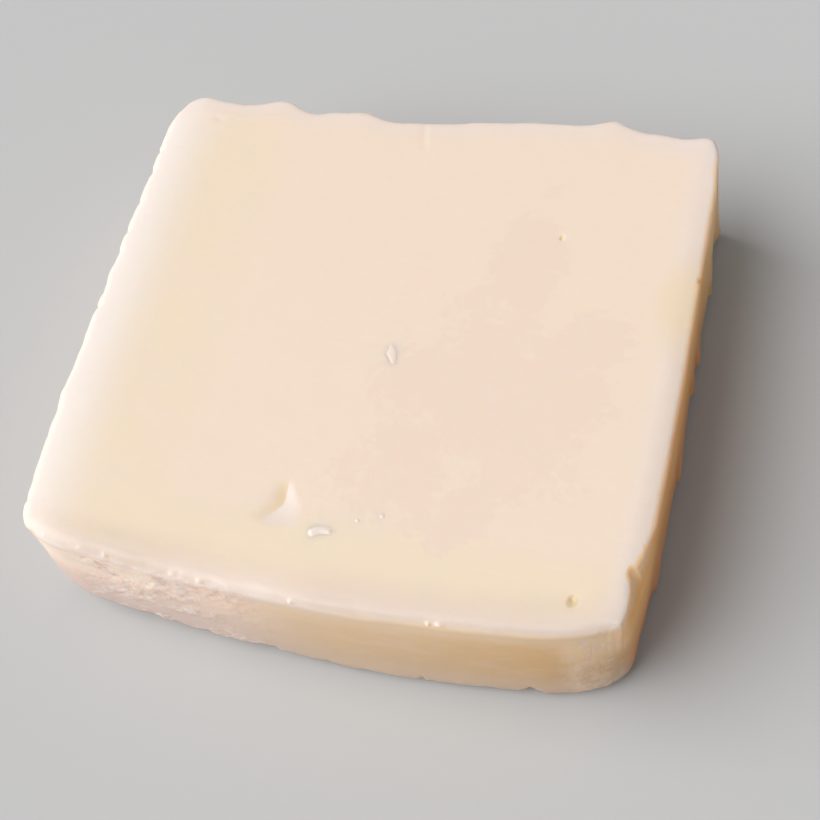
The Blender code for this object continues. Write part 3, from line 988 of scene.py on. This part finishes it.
def soap_gloss(shade, cloud, torn):
    """A waxy sheen, duller where torn, with fine grain, smears and crumbs as relief."""
    fine = shade.noise(0.32, 3.0, 0.6)
    smear = shade.noise(1.4, 2.0, 0.5, stretch=(3.0, 1.0, 0.6))
    dullness = shade.plus(0.42, about(shade, cloud, 0.12), shade.times(torn, 0.2))
    dullness = shade.plus(dullness, about(shade, fine, 0.10))
    shade.feed(shade.shader.inputs["Roughness"], dullness)
    relief = shade.bump(fine, 0.012)
    relief = shade.bump(smear, 0.03, relief)
    relief = shade.bump(shade.times(torn, shade.noise(0.6, 4.0, 0.65)), 0.20, relief)
    shade.feed(shade.shader.inputs["Normal"], relief)


def soap_block_material():
    """Cream soap: pinkish clouds and yellower bands on the top, golden cut sides partly in painted shade,
    whitish tears, and painted light and shade on the rims, walls and dent.
    """
    shade = Shade("soap_cream")
    x, y = shade.x, shade.y
    inward, torn, broken = (shade.mark(name) for name in ("inward", "torn", "broken"))
    cloud = shade.noise(9.0, 3.0, 0.6)
    grain = shade.noise(1.1, 3.0, 0.65)
    on_front = shade.ramp(y, -27.0, -32.0)
    on_right = shade.times(shade.ramp(y, -34.0, -29.0), shade.ramp(y, 36.5, 34.5),
                           shade.ramp(x, 32.5, 36.5))

    top = top_clouds(shade, cloud, grain)
    top = dent_and_pits(shade, top, grain)
    top = top_rims(shade, top, cloud, inward)
    side = cut_walls(shade, cloud, on_front, on_right)
    side = torn_and_broken(shade, side, torn, broken)
    colour = shade.mix(share_of_top(shade, grain, inward, on_right, broken), side, top)
    colour = shade.mix(shade.times(shade.mark("fleck"), FLECK_SHARE), colour, FLECK)
    shade.feed(shade.shader.inputs["Base Color"], colour)
    soap_gloss(shade, cloud, torn)
    translucent(shade)
    return shade.material


def soap_bit_material(name, cream, pale):
    """Loose soap: the same cream, dried paler."""
    shade = Shade(name)
    cloud = shade.noise(0.8, 3.0, 0.6)
    shade.feed(shade.shader.inputs["Base Color"], shade.mix(cloud, cream, pale))
    shade.feed(shade.shader.inputs["Roughness"], shade.plus(0.45, shade.times(cloud, 0.15)))
    shade.feed(shade.shader.inputs["Normal"], shade.bump(shade.noise(0.15, 3.0, 0.6), 0.02))
    shade.shader.inputs["Specular IOR Level"].default_value = BIT_SPECULAR
    return shade.material


block_mesh.materials.append(soap_block_material())
crumb_cream = soap_bit_material("soap_crumb_cream", BIT_CREAM, BIT_PALE)
flake_cream = soap_bit_material("soap_flake_cream", FLAKE_CREAM, FLAKE_PALE)
for bit in bits:
    bit.data.materials.append(flake_cream if bit.name == "soap_flake_kite" else crumb_cream)


# ---------------------------------------- floor, lights, camera

def pale_floor():
    """A large plain floor that isn't part of the object."""
    mesh = bpy.data.meshes.new("floor")
    corners = [(x * FLOOR_HALF, y * FLOOR_HALF, 0.0) for x, y in ((-1, -1), (1, -1), (1, 1), (-1, 1))]
    mesh.from_pydata(corners, [], [(0, 1, 2, 3)])
    floor = bpy.data.objects.new("floor", mesh)
    bpy.context.scene.collection.objects.link(floor)
    pale = bpy.data.materials.new("floor_pale")
    pale.use_nodes = True
    shader = pale.node_tree.nodes["Principled BSDF"]
    shader.inputs["Base Color"].default_value = (FLOOR_GREY, FLOOR_GREY, FLOOR_GREY, 1.0)
    shader.inputs["Roughness"].default_value = FLOOR_ROUGHNESS
    mesh.materials.append(pale)


def sun(name, direction, softness, strength):
    """A distant white light that shines from a direction; softness is how many degrees of sky it fills."""
    data = bpy.data.lights.new(name, "SUN")
    data.angle = math.radians(softness)
    data.energy = strength
    light = bpy.data.objects.new(name, data)
    light.rotation_euler = Vector(direction).to_track_quat("Z", "Y").to_euler()
    bpy.context.scene.collection.objects.link(light)


def studio_sky(low, high):
    """Even soft light all round: one grey level at the horizon and another overhead."""
    world = bpy.data.worlds.new("studio")
    bpy.context.scene.world = world
    world.use_nodes = True
    nodes, links = world.node_tree.nodes, world.node_tree.links
    split = nodes.new("ShaderNodeSeparateXYZ")
    links.new(split.inputs[0], nodes.new("ShaderNodeTexCoord").outputs["Generated"])
    blend = nodes.new("ShaderNodeMapRange")
    blend.interpolation_type = "SMOOTHSTEP"
    for socket, number in zip(blend.inputs[1:5], (0.0, SKY_BLEND_TOP, low, high)):
        socket.default_value = number
    links.new(blend.inputs[0], split.outputs["Z"])
    links.new(nodes["Background"].inputs["Strength"], blend.outputs[0])
    nodes["Background"].inputs["Color"].default_value = (1, 1, 1, 1)


def make_camera():
    """The camera at the view set at the top of the script."""
    azimuth, elevation, roll = (math.radians(angle) for angle in (VIEW_AZIMUTH, VIEW_ELEVATION, VIEW_ROLL))
    level = math.cos(elevation)
    back = Vector((math.sin(azimuth) * level, -math.cos(azimuth) * level, math.sin(elevation)))
    level_right = Vector((math.cos(azimuth), math.sin(azimuth), 0.0))
    level_up = back.cross(level_right)
    right = level_right * math.cos(roll) - level_up * math.sin(roll)
    up = level_up * math.cos(roll) + level_right * math.sin(roll)
    data = bpy.data.cameras.new("camera")
    data.lens = VIEW_LENS
    data.sensor_width = SENSOR_WIDTH
    data.clip_start = 0.01
    camera = bpy.data.objects.new("camera", data)
    turn = Matrix((right, up, back)).transposed()
    camera.matrix_world = Matrix.Translation(Vector(VIEW_TARGET) + back * VIEW_DISTANCE) @ turn.to_4x4()
    bpy.context.scene.collection.objects.link(camera)
    bpy.context.scene.camera = camera


pale_floor()
sun("key", KEY_DIRECTION, KEY_SOFTNESS, KEY_STRENGTH)
studio_sky(SKY_LOW, SKY_HIGH)
make_camera()
bpy.context.scene.view_settings.view_transform = "Standard"
